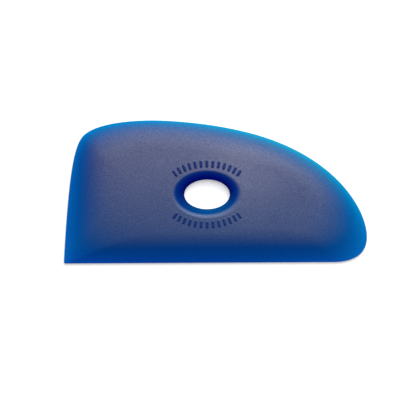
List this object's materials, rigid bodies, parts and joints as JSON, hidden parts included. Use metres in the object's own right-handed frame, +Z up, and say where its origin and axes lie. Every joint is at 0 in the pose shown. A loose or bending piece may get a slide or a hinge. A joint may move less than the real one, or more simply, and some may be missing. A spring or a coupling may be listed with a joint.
{
  "type": "pottery rib",
  "caption": "Flexible polymer potter's rib with a straight edge, a long curved back, a rounded nose, bevelled edges and an oval finger hole.",
  "frame": {"origin": "centre of the rib's length and width, on the flat back that it lies on", "axes": "+X along the straight edge towards the rounded nose, +Y from the straight edge towards the curved back, +Z up out of the domed, bevelled face"},
  "size_m": [0.108, 0.0508, 0.0064],
  "materials": {
    "blue_polymer": "satin"
  },
  "bodies": {
    "root": {"rib_body": "blue_polymer"}
  },
  "joints": []
}
